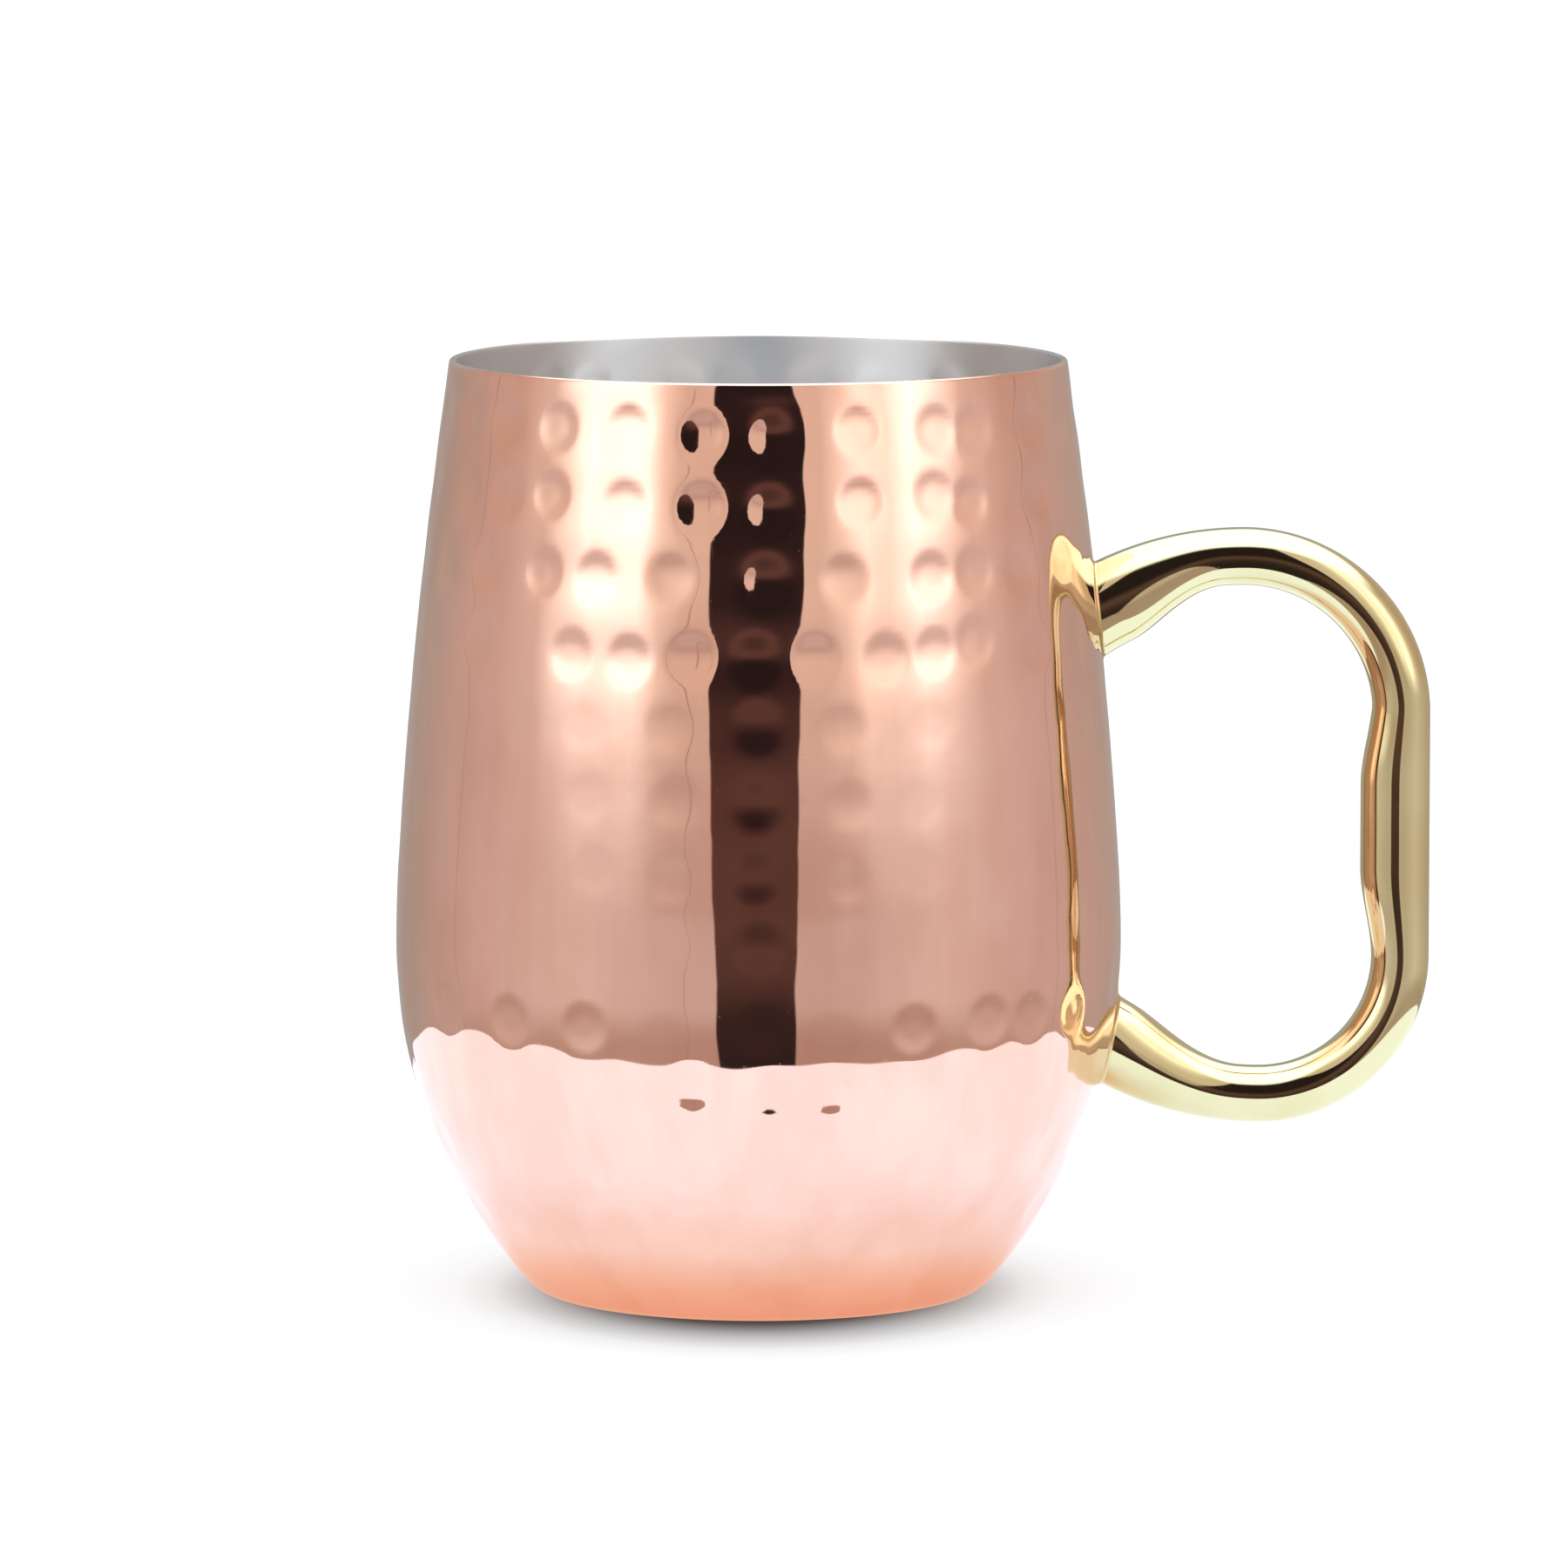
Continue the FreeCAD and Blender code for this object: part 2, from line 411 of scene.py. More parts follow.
@dataclass(frozen=True)
class BrazeFiller:
    """Brazing filler, wiped smooth and a little duller than the brass."""

    colour: tuple = (0.74, 0.62, 0.32)
    flushed: tuple = (0.74, 0.48, 0.28)
    roughness: float = 0.16
    pitted: float = 0.14
    relief: float = 0.012 * MM

    def material(self) -> bpy.types.Material:
        """The material: the filler flushes towards copper in places and has a fine, pitted skin."""
        material, graph = new_material("braze_filler")
        place, _, _, _ = graph.place()
        flow = graph.noise(place, 320)
        skin = graph.noise(place, 3500, detail=2)
        metal(graph, {
            "Base Color": graph.mix(graph.step(flow, 0.38, 0.66), self.colour, self.flushed),
            "Roughness": self.roughness + skin * self.pitted,
            "Normal": graph.bump(skin, self.relief),
        })
        return material


# ---- Meshes ----


class Skin:
    """A mesh that is put together from rings of points, each joined to the one before."""

    def __init__(self) -> None:
        """Starts with no points."""
        self.points: list[np.ndarray] = []
        self.faces: list[list[int]] = []
        self.count = 0
        self.last: np.ndarray | None = None

    def _add(self, points: np.ndarray) -> np.ndarray:
        """Adds points.

        Args:
            points: their places, one row each.

        Returns:
            Their numbers.
        """
        self.points.append(points)
        numbers = np.arange(self.count, self.count + len(points))
        self.count += len(points)
        return numbers

    def pole(self, point: np.ndarray) -> None:
        """Adds a single point, which opens or closes the skin.

        Args:
            point: its place.
        """
        number = self._add(np.reshape(point, (1, 3)))
        if self.last is not None:
            tips = np.broadcast_to(number, self.last.shape)
            self.faces += np.stack([self.last, np.roll(self.last, -1), tips], 1).tolist()
        self.last = number

    def rings(self, grid: np.ndarray) -> None:
        """Adds a grid of points, row by row, and joins it to what came before.

        A row joins the last one by squares, or by a fan where the last one is a single point, or by
        sets of three triangles where it has half as many points.

        Args:
            grid: the places, by row and by column.
        """
        rows, columns = grid.shape[:2]
        numbers = self._add(grid.reshape(-1, 3)).reshape(rows, columns)
        if self.last is not None:
            self._join(self.last, numbers[0])
        lower, upper = numbers[:-1], numbers[1:]
        squares = np.stack([lower, np.roll(lower, -1, 1), np.roll(upper, -1, 1), upper], -1)
        self.faces += squares.reshape(-1, 4).tolist()
        self.last = numbers[-1]

    def _join(self, lower: np.ndarray, upper: np.ndarray) -> None:
        """Joins a ring to the next.

        Args:
            lower: the numbers of the points of the last ring.
            upper: those of the next.
        """
        after = np.roll(upper, -1)
        if len(lower) == 1:
            self.faces += np.stack([np.broadcast_to(lower, upper.shape), after, upper], 1).tolist()
        elif len(lower) == len(upper):
            self.faces += np.stack([lower, np.roll(lower, -1), after, upper], 1).tolist()
        elif len(lower) == 2 * len(upper):
            even, odd = lower[0::2], lower[1::2]
            self.faces += np.concatenate([
                np.stack([even, odd, upper], 1), np.stack([odd, after, upper], 1),
                np.stack([odd, np.roll(even, -1), after], 1),
            ]).tolist()
        else:
            raise ValueError(f"a ring of {len(lower)} points can't be joined to one of {len(upper)}")

    def build(self, name: str, material: bpy.types.Material) -> bpy.types.Object:
        """Makes the object, with its faces outwards, and its edges sharp above the sharp angle.

        Args:
            name: the piece's name.
            material: its finish.

        Returns:
            The object, at the origin.
        """
        points = np.concatenate(self.points)
        if signed_volume(points, self.faces) < 0:
            self.faces = [face[::-1] for face in self.faces]
        mesh = bpy.data.meshes.new(name)
        mesh.from_pydata(points.tolist(), [], self.faces)
        mesh.polygons.foreach_set("use_smooth", np.ones(len(self.faces), bool))
        mesh.set_sharp_from_angle(angle=SHARP_ANGLE)
        mesh.materials.append(material)
        mesh.update()
        piece = bpy.data.objects.new(name, mesh)
        bpy.context.scene.collection.objects.link(piece)
        return piece


def signed_volume(points: np.ndarray, faces: list[list[int]]) -> float:
    """The volume that faces enclose, negative where they point inwards.

    It is the sum over the triangles of each face of a sixth of the triple product of its corners.

    Args:
        points: the corners' places.
        faces: three or four corners each.

    Returns:
        The volume.
    """
    corners = np.array([face if len(face) == 4 else [*face, face[2]] for face in faces])
    a, b, c, d = (points[corners[:, k]] for k in range(4))
    return float(np.sum(a * (np.cross(b, c) + np.cross(c, d))) / 6)


def place_round(radius: np.ndarray, turn: np.ndarray, height: np.ndarray) -> np.ndarray:
    """Points at a radius, a turn from the front towards the handle, and a height."""
    return np.stack(np.broadcast_arrays(radius * np.sin(turn), -radius * np.cos(turn), height), -1)


def turn_from(start: float, turn: np.ndarray) -> np.ndarray:
    """How far each turn is from start, the short way round."""
    return (turn - start + math.pi) % FULL_TURN - math.pi


def smooth(value: np.ndarray | float) -> np.ndarray:
    """0 below 0, 1 above 1, and 3t^2 - 2t^3 between."""
    t = np.clip(value, 0, 1)
    return t * t * (3 - 2 * t)


@dataclass(frozen=True)
class Profile:
    """The body's outline, from the axis at the base to the rim: a line and four tangent arcs.

    A place on it is given by the distance along it from the axis, and a layer of the wall by its
    offset from it, outwards.
    """

    height: float
    belly_radius: float
    base_radius: float = 25.0 * MM
    shoulder_radius: float = 4.3 * MM
    belly_height: float = 42.1 * MM
    crown_radius: float = 169.0 * MM
    crown_rise: float = 10.2 * MM
    rim_radius: float = 37.3 * MM
    samples: int = 6000
    arcs: np.ndarray = field(init=False)
    ends: np.ndarray = field(init=False)

    def __post_init__(self) -> None:
        """Works out each arc's centre, radius and first angle, and where along the outline it ends.

        The lower belly's arc touches the shoulder's and is upright at the widest place. The wall's
        leaves the crown's in the crown's direction and passes through the rim.
        """
        run, rise = self.belly_radius - self.base_radius, self.belly_height - self.shoulder_radius
        belly = (run ** 2 + rise ** 2 - self.shoulder_radius ** 2) / (2 * (run - self.shoulder_radius))
        belly_x = self.belly_radius - belly
        toe = math.atan2(self.shoulder_radius - self.belly_height, self.base_radius - belly_x)
        lean = math.asin(self.crown_rise / self.crown_radius)
        out = np.array([math.cos(lean), math.sin(lean)])
        start = np.array([self.belly_radius - self.crown_radius, self.belly_height]) + self.crown_radius * out
        chord = np.array([self.rim_radius, self.height]) - start
        wall = -chord @ chord / (2 * chord @ out)
        wall_x, wall_z = start - wall * out
        top = math.asin((self.height - wall_z) / wall)
        arcs = np.array([
            [self.base_radius, self.shoulder_radius, self.shoulder_radius, -math.pi / 2, toe],
            [belly_x, self.belly_height, belly, toe, 0.0],
            [self.belly_radius - self.crown_radius, self.belly_height, self.crown_radius, 0.0, lean],
            [wall_x, wall_z, wall, lean, top],
        ])
        lengths = arcs[:, 2] * (arcs[:, 4] - arcs[:, 3])
        object.__setattr__(self, "arcs", arcs)
        object.__setattr__(self, "ends", np.cumsum([self.base_radius, *lengths]))

    @property
    def length(self) -> float:
        """The whole distance from the axis to the rim."""
        return float(self.ends[-1])

    def at(self, distance: np.ndarray) -> tuple[np.ndarray, np.ndarray, np.ndarray, np.ndarray]:
        """The outline at distances along it.

        On the base the radius is the distance. On an arc the point is its centre plus its radius
        times the direction outwards, which turns by the distance over the radius.

        Args:
            distance: the distances from the axis.

        Returns:
            The radius and height there, and the outward direction's two parts.
        """
        distance = np.asarray(distance, float)
        arc = np.clip(np.searchsorted(self.ends, distance), 1, 4) - 1
        x, z, radius, first, _ = self.arcs[arc].T
        angle = first.T + (distance - self.ends[arc]) / radius.T
        flat = distance <= self.base_radius
        out_r, out_z = np.where(flat, 0.0, np.cos(angle)), np.where(flat, -1.0, np.sin(angle))
        return (np.where(flat, distance, x.T + radius.T * np.cos(angle)),
                np.where(flat, 0.0, z.T + radius.T * np.sin(angle)), out_r, out_z)

    def _spread(self) -> np.ndarray:
        """Closely spaced distances from the base's edge to the rim."""
        return np.linspace(self.base_radius, self.length, self.samples)

    def distance_at(self, height: np.ndarray) -> np.ndarray:
        """The distance along the outline to a height above the base."""
        along = self._spread()
        return np.interp(height, self.at(along)[1], along)

    def radius_at(self, height: np.ndarray, offset: float) -> np.ndarray:
        """The radius at a height of the outline moved outwards by an offset."""
        radius, level, out_r, out_z = self.at(self._spread())
        return np.interp(height, level + offset * out_z, radius + offset * out_r)


@dataclass(frozen=True)
class Bowl:
    """A kind of dimple: a round bowl in a wider and softer hollow.

    With p and q the distance from its middle over the bowl's and the hollow's radius, the bowl is
    (1 - p^edge)^2 deep where p < 1, and the hollow is exp(-q^2) deep.
    """

    radius: float
    depth: float
    edge: float
    hollow_radius: float
    hollow_depth: float


@dataclass
class Hammering:
    """The pattern of hammered dimples, which every surface of the wall shares.

    The rows are level, at heights in millimetres, and the blows in a row are a little uneven. By
    their turn from the front in degrees, those up to the first limit are deep, those up to the
    second are clear, and the others are slight, with a flat bottom. Force is a row's strength for
    each of the three kinds. A blow is felt up and down the wall as far as reach times its hollow's
    radius. Where the wall is narrower than narrow, the even steps widen and keep their length.
    """

    profile: Profile
    roots: list[tuple[float, float]]
    rows: tuple = (107.7, 99.1, 90.4, 81.4, 73.0, 64.2, 55.6, 47.0, 37.6, 29.6, 20.0, 11.5)
    force: tuple = (
        (1.05, 1.05, 1.0), (1.0, 1.05, 1.0), (0.95, 0.62, 1.0), (0.74, 0.72, 0.8), (0.36, 0.20, 0.12),
        (0.34, 0.16, 0.10), (0.34, 0.16, 0.10), (0.34, 0.18, 0.15), (0.34, 0.12, 1.0), (0.74, 1.1, 0.6),
        (0.2, 0.3, 0.9), (0.2, 0.3, 0.9),
    )
    front: tuple = (
        (-51.0, -38.3, -23.7, -9.6, 2.4, 18.0, 33.6, 42.0, 58.2),
        (-49.6, -38.7, -23.6, -9.8, 2.0, 18.0, 32.3, 39.9, 57.9),
        (-53.0, -39.1, -28.3, -14.6, 1.3, 14.6, 30.6, 39.8, 50.8),
        (-53.8, -32.3, -21.6, -11.0, -0.5, 9.5, 21.5, 30.5, 38.8),
        (-14.0, 0.0, 13.5), (-13.0, -0.3, 14.5), (-13.5, -0.3, 13.8), (-14.0, 0.3, 14.0),
        (-58.4, -42.5, -28.0, -14.5, 0.6, 12.0, 25.0, 38.7, 48.0),
        (-36.0, -24.0, -10.5, 1.8, 11.7, 23.5, 35.0),
    )
    kinds: tuple = (
        Bowl(3.6 * MM, 0.37 * MM, 2.0, 4.4 * MM, 0.22 * MM),
        Bowl(3.4 * MM, 0.25 * MM, 2.6, 3.6 * MM, 0.10 * MM),
        Bowl(3.2 * MM, 0.12 * MM, 4.5, 3.6 * MM, 0.10 * MM),
    )
    limits: tuple = (4.0, 16.0)
    step: float = 14.2
    narrow: float = 34.0 * MM
    reach: float = 2.6
    first_scatter: tuple = (0.2, 1.0)
    turn_scatter: float = 1.5
    height_scatter: float = 0.3 * MM
    force_range: tuple = (0.92, 1.06)
    size_range: tuple = (0.95, 1.05)
    bare_rim: float = 0.4 * MM
    collar: float = 2.4 * MM
    bare_base: float = 3.0 * MM
    toe: float = 5.0 * MM
    root_margin: float = 3.5 * MM
    seed: int = 11
    blows: np.ndarray = field(init=False)

    def __post_init__(self) -> None:
        """Strikes every row: its front as listed, and the rest of the way round in even steps."""
        chance = np.random.default_rng(self.seed)
        blows = []
        for number, (height, force) in enumerate(zip(self.rows, self.force)):
            distance = float(self.profile.distance_at(height * MM))
            radius = float(self.profile.at(np.array([distance]))[0][0])
            if number < len(self.front):
                given = self.front[number]
            else:
                given = (float(chance.normal(*self.first_scatter)),)
            step = self.step * max(1.0, self.narrow / radius)
            gap = 360 - (given[-1] - given[0])
            count = round(gap / step)
            even = given[-1] + gap * np.arange(1, count) / count
            rest = even + chance.normal(0, self.turn_scatter, count - 1)
            degrees = np.concatenate([given, rest])
            size = len(degrees)
            kind = np.searchsorted(self.limits, np.abs(degrees))
            blows.append(np.stack([
                np.radians(degrees), distance + chance.normal(0, self.height_scatter, size),
                np.array(force)[kind] * chance.uniform(*self.force_range, size),
                chance.uniform(*self.size_range, size), kind,
            ], 1))
        self.blows = np.concatenate(blows)

    def depth(self, turn: np.ndarray, distance: np.ndarray) -> np.ndarray:
        """How far the wall is moved outwards at places of a grid.

        All bowls and hollows add up, and everything fades out at the rim's collar, at the base and
        round the handle's roots.

        Args:
            turn: the turns of the columns.
            distance: the distances along the outline of the rows.

        Returns:
            The movement outwards, by row and by column.
        """
        radius, height, _, _ = self.profile.at(distance)
        moved = np.zeros((len(distance), len(turn)))
        for blow_turn, blow_distance, force, scale, kind in self.blows:
            shape = self.kinds[int(kind)]
            near = np.abs(distance - blow_distance) < self.reach * shape.hollow_radius
            if not near.any():
                continue
            along = (distance[near] - blow_distance)[:, None]
            across = radius[near][:, None] * turn_from(blow_turn, turn)
            square = along ** 2 + across ** 2
            bowl = np.clip(1 - (square / (shape.radius * scale) ** 2) ** (shape.edge / 2), 0, 1) ** 2
            hollow = np.exp(-square / (shape.hollow_radius * scale) ** 2)
            moved[near] -= force * (shape.depth * bowl + shape.hollow_depth * hollow)
        moved *= smooth((self.profile.length - self.bare_rim - distance) / self.collar)[:, None]
        moved *= smooth((distance - self.profile.base_radius - self.bare_base) / self.toe)[:, None]
        from_handle = radius[:, None] * turn_from(math.pi / 2, turn)
        for level, half in self.roots:
            off = np.hypot((height - level)[:, None], from_handle)
            moved *= smooth((off - half) / self.root_margin)
        return moved


# ---- The cup's two layers ----


@dataclass
class Layer:
    """A layer of the wall: a closed cup with a fine face that shows and a coarse one that doesn't.

    Shown and hidden are the two faces' offsets from the outline.
    """

    profile: Profile
    hammering: Hammering
    node: str
    slot: Slot
    shown: float
    hidden: float
    lip: float = 0.3 * MM
    levelled: float = 2.0 * MM
    fine_top: float = 3.0 * MM
    hidden_top: float = 1.5 * MM
    columns: int = 480
    wall_rows: int = 152
    base_rows: int = 7
    shoulder_rows: int = 9
    top_rows: int = 7
    lip_rows: int = 5
    hidden_rows: tuple = (46, 5, 4)

    def _grid(self, distance: np.ndarray, offset: np.ndarray, columns: int) -> np.ndarray:
        """The wall's points.

        A point is the outline's plus its outward direction times the offset and the hammering. The
        last stretch is moved up or down so that every layer ends level at the rim.

        Args:
            distance: the rows' distances along the outline.
            offset: the rows' offsets from it.
            columns: the number of columns.

        Returns:
            The points, by row and by column.
        """
        turn = np.arange(columns) * FULL_TURN / columns
        radius, height, out_r, out_z = self.profile.at(distance)
        out = offset[:, None] + self.hammering.depth(turn, distance)
        last_out_z = self.profile.at(np.array([self.profile.length]))[3][0]
        rise = smooth((distance - self.profile.length + self.levelled) / self.levelled)
        level = -offset * last_out_z * rise
        return place_round(radius[:, None] + out * out_r[:, None], turn,
                           height[:, None] + out * out_z[:, None] + level[:, None])

    def build(self, material: bpy.types.Material) -> bpy.types.Object:
        """Makes the layer, from the middle of its shown face over the lip to the middle of its hidden one.

        The lip's shown edge is a quarter circle, and the rest of the way across it is flat.

        Args:
            material: its finish.

        Returns:
            The piece.
        """
        profile, end = self.profile, self.profile.length
        base = profile.base_radius
        shown = np.concatenate([
            np.linspace(0, base, self.base_rows)[1:],
            np.linspace(base, profile.ends[1], self.shoulder_rows)[1:],
            np.linspace(profile.ends[1], end - self.fine_top, self.wall_rows)[1:],
            np.linspace(end - self.fine_top, end - self.lip, self.top_rows)[1:],
        ])
        side = math.copysign(1, self.shown - self.hidden)
        swing = np.linspace(0, math.pi / 2, self.lip_rows + 1)[1:]
        lip_distance = end - self.lip * (1 - np.sin(swing))
        lip_offset = self.shown - side * self.lip * (1 - np.cos(swing))
        fine_distance = np.concatenate([shown, lip_distance, [end]])
        fine_offset = np.concatenate([np.full(len(shown), self.shown), lip_offset, [self.hidden]])
        wall_rows, shoulder_rows, base_rows = self.hidden_rows
        hidden = np.concatenate([
            np.linspace(end - self.hidden_top, profile.ends[1], wall_rows),
            np.linspace(profile.ends[1], base, shoulder_rows)[1:],
            np.linspace(base, 0, base_rows)[1:-1],
        ])
        skin = Skin()
        skin.pole(np.array([0, 0, -self.shown]))
        skin.rings(self._grid(fine_distance, fine_offset, self.columns))
        skin.rings(self._grid(hidden, np.full(len(hidden), self.hidden), self.columns // 2))
        skin.pole(np.array([0, 0, -self.hidden]))
        return finished(skin.build(f"{self.node}_metal", material), [self.node], self.slot)


def finished(piece: bpy.types.Object, nodes: list[str], slot: Slot) -> bpy.types.Object:
    """Ties a piece to the frame.

    Args:
        piece: the piece.
        nodes: the CAD nodes that it stands for.
        slot: the material slot that it stands for, which is only logged.

    Returns:
        The piece.
    """
    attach(piece, "root")
    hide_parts(*nodes)
    log.info("%s: %d faces, %s", piece.name, len(piece.data.polygons), slot.value)
    return piece


# ---- The handle ----


@dataclass
class Handle:
    """The cast handle: an oval section that runs along a D-shaped back, trimmed to the wall.

    The station is the distance along the back from the middle of the grip, positive upwards. The
    angle goes round the section from its back.
    """

    profile: Profile
    back: float
    middle: float
    rise: float
    upper_corner: float = 22.7 * MM
    lower_corner: float = 20.6 * MM
    arm_radius: float = 41.0 * MM
    tube: tuple = (7.0 * MM, 6.8 * MM)
    grip: tuple = (8.4 * MM, 7.2 * MM)
    grip_half_length: float = 5.0 * MM
    grip_fade: float = 11.0 * MM
    upper_root: tuple = (10.6 * MM, 8.2 * MM)
    lower_root: tuple = (10.4 * MM, 8.2 * MM)
    flare_start: float = 2.8 * MM
    upper_flare: float = 16.0 * MM
    lower_flare: float = 19.0 * MM
    seat: float = 0.25 * MM
    search: float = 40.0 * MM
    search_steps: int = 2400
    columns: int = 96
    rows: int = 420
    cap_rings: int = 4

    def _back_at(self, station: np.ndarray) -> tuple[np.ndarray, ...]:
        """The back's line and its direction inwards.

        It is straight at the grip, then a quarter circle, then the wider arc of the arm, whose turn
        goes on from the quarter circle's.

        Args:
            station: the stations.

        Returns:
            x and z of the back, x and z of the direction inwards, and the distance along the arm.
        """
        upper = station >= 0
        side, along = np.where(upper, 1.0, -1.0), np.abs(station)
        corner = np.where(upper, self.upper_corner, self.lower_corner)
        straight = self.rise - corner
        turn = np.clip((along - straight) / corner, 0, math.pi / 2)
        arm = along - straight - corner * math.pi / 2
        swing = np.clip(arm, 0, None) / self.arm_radius
        x = self.back - corner * (1 - np.cos(turn)) - self.arm_radius * np.sin(swing)
        z = np.minimum(along, straight) + corner * np.sin(turn) - self.arm_radius * (1 - np.cos(swing))
        turn = turn + swing
        return x, self.middle + side * z, -np.cos(turn), -side * np.sin(turn), arm

    def surface(self, station: np.ndarray, angle: np.ndarray, grow: float = 0.0) -> np.ndarray:
        """Points of the handle's skin.

        The section is an ellipse whose width lies in the handle's plane, inwards from the back. Its
        size is the tube's, plus the grip's swelling about the middle and the flare into each root,
        which is longer at the lower one.

        Args:
            station: the stations.
            angle: the angles round the section.
            grow: how much both half-axes are enlarged.

        Returns:
            The points.
        """
        x, z, in_x, in_z, arm = self._back_at(station)
        swell = 1 - smooth((np.abs(station) - self.grip_half_length) / self.grip_fade)
        flare = smooth((arm - self.flare_start) / np.where(station >= 0, self.upper_flare, self.lower_flare))
        width, depth = (
            self.tube[k] + swell * (self.grip[k] - self.tube[k])
            + flare * (np.where(station >= 0, self.upper_root[k], self.lower_root[k]) - self.tube[k])
            for k in (0, 1)
        )
        inwards = width / 2 - (width / 2 + grow) * np.cos(angle)
        return np.stack(np.broadcast_arrays(
            x + in_x * inwards, (depth / 2 + grow) * np.sin(angle), z + in_z * inwards), -1)

    def meeting(self, root: Root, angle: np.ndarray, grow: float, offset: float) -> np.ndarray:
        """The station at which each line along the handle meets the wall.

        The distance from the wall is taken at many stations at once, and the meeting is found in
        proportion between the last that lies outside the wall and the first that lies inside.

        Args:
            root: which end.
            angle: the lines' angles.
            grow: how much the section is enlarged.
            offset: how far the wall is moved outwards.

        Returns:
            The stations, one for each angle.
        """
        corner = self.upper_corner if root is Root.UPPER else self.lower_corner
        start = self.rise - corner + corner * math.pi / 2
        along = np.linspace(start, start + self.search, self.search_steps)[:, None]
        points = self.surface(root.value * along, angle[None, :], grow)
        clear = np.hypot(points[..., 0], points[..., 1]) - self.profile.radius_at(points[..., 2], offset)
        first = np.argmax(clear < 0, axis=0)
        column = np.arange(len(angle))
        above, below = clear[first - 1, column], clear[first, column]
        share = above / (above - below)
        return root.value * (along[first - 1, 0] + share * (along[first, 0] - along[first - 1, 0]))

    def ring(self, root: Root, angle: np.ndarray, grow: float, offset: float) -> np.ndarray:
        """The closed line in which the enlarged handle meets the wall moved outwards."""
        return self.surface(self.meeting(root, angle, grow, offset), angle, grow)

    def cap(self, edge: np.ndarray, offset: float) -> tuple[np.ndarray, np.ndarray]:
        """Rings that close an end on the wall.

        Each ring is the edge drawn in towards its middle, and then moved along its radius until it
        lies on the wall moved outwards.

        Args:
            edge: the end's edge.
            offset: how far the wall is moved outwards.

        Returns:
            The rings from the edge inwards, and the middle point.
        """
        middle = edge.mean(0)
        share = np.linspace(1, 0, self.cap_rings + 2)[1:, None, None]
        rings = middle + share * (edge - middle)
        reach = self.profile.radius_at(rings[..., 2], offset) / np.hypot(rings[..., 0], rings[..., 1])
        rings[..., :2] *= reach[..., None]
        return rings[:-1], rings[-1, 0]

    def build(self, material: bpy.types.Material) -> bpy.types.Object:
        """Makes the handle, with every line along it spaced evenly between its ends. It casts no shadow.

        Args:
            material: its finish.

        Returns:
            The piece.
        """
        angle = np.arange(self.columns) * FULL_TURN / self.columns
        low = self.meeting(Root.LOWER, angle, 0.0, self.seat)
        high = self.meeting(Root.UPPER, angle, 0.0, self.seat)
        share = np.linspace(0, 1, self.rows)[:, None]
        body = self.surface(low + share * (high - low), angle[None, :])
        low_rings, low_middle = self.cap(body[0], self.seat)
        high_rings, high_middle = self.cap(body[-1], self.seat)
        skin = Skin()
        skin.pole(low_middle)
        skin.rings(low_rings[::-1])
        skin.rings(body)
        skin.rings(high_rings)
        skin.pole(high_middle)
        piece = skin.build("cast_handle", material)
        piece.visible_shadow = False
        return finished(piece, ["handle"], Slot.BRASS)


@dataclass
class Braze:
    """The filler between the wall and one end of the handle, with a small hollow fillet round it."""

    handle: Handle
    root: Root
    leg: float = 0.35 * MM
    bury: float = 0.04 * MM
    fillet_rings: int = 6
    columns: int = 96

    def build(self, material: bpy.types.Material) -> bpy.types.Object:
        """Makes the filler.

        The fillet is a quarter circle, hollow, from the wall to the handle's side: with t from 0 to
        a right angle, the section grows by leg (1 - sin t) and the wall moves out by leg (1 - cos t).
        The first ring is buried in the wall, and the last, a little smaller, in the handle.

        Args:
            material: its finish.

        Returns:
            The piece.
        """
        handle = self.handle
        angle = np.arange(self.columns) * FULL_TURN / self.columns
        swing = np.linspace(0, math.pi / 2, self.fillet_rings)
        steps = [(self.leg, -self.bury)]
        steps += [(self.leg * (1 - math.sin(t)), self.leg * (1 - math.cos(t))) for t in swing]
        steps += [(-self.bury / 4, handle.seat)]
        rings = np.stack([handle.ring(self.root, angle, grow, offset) for grow, offset in steps])
        under, under_middle = handle.cap(rings[0], -self.bury)
        over, over_middle = handle.cap(rings[-1], handle.seat)
        skin = Skin()
        skin.pole(under_middle)
        skin.rings(under[::-1])
        skin.rings(rings)
        skin.rings(over)
        skin.pole(over_middle)
        node = f"{self.root.name.lower()}_braze"
        return finished(skin.build(f"{node}_filler", material), [node], Slot.BRAZE)


# ---- The studio ----


